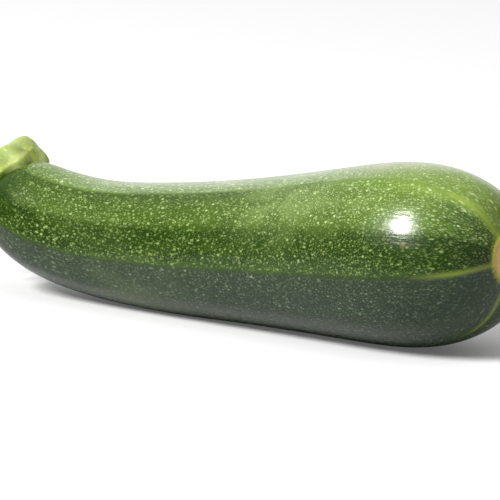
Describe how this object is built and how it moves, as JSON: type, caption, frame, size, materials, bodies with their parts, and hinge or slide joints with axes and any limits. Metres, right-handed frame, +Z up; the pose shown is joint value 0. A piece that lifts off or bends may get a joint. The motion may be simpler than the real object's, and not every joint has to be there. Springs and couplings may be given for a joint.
{
  "type": "courgette",
  "caption": "Whole ripe green courgette with a narrow neck, a swollen blossom end, lengthwise ridges and a short ribbed stem, lying on its side.",
  "frame": {"origin": "on the surface it lies on, under the middle of the whole courgette", "axes": "+X towards the blossom end, along the courgette; +Z up as it lies"},
  "size_m": [0.2098, 0.0518, 0.0521],
  "materials": {
    "fruit_skin": "waxy dark green skin with pale flecks, glossy",
    "stem_skin": "pale yellow-green ribbed stem skin, satin"
  },
  "bodies": {
    "root": {"fruit": "fruit_skin", "stem": "stem_skin"}
  },
  "joints": []
}
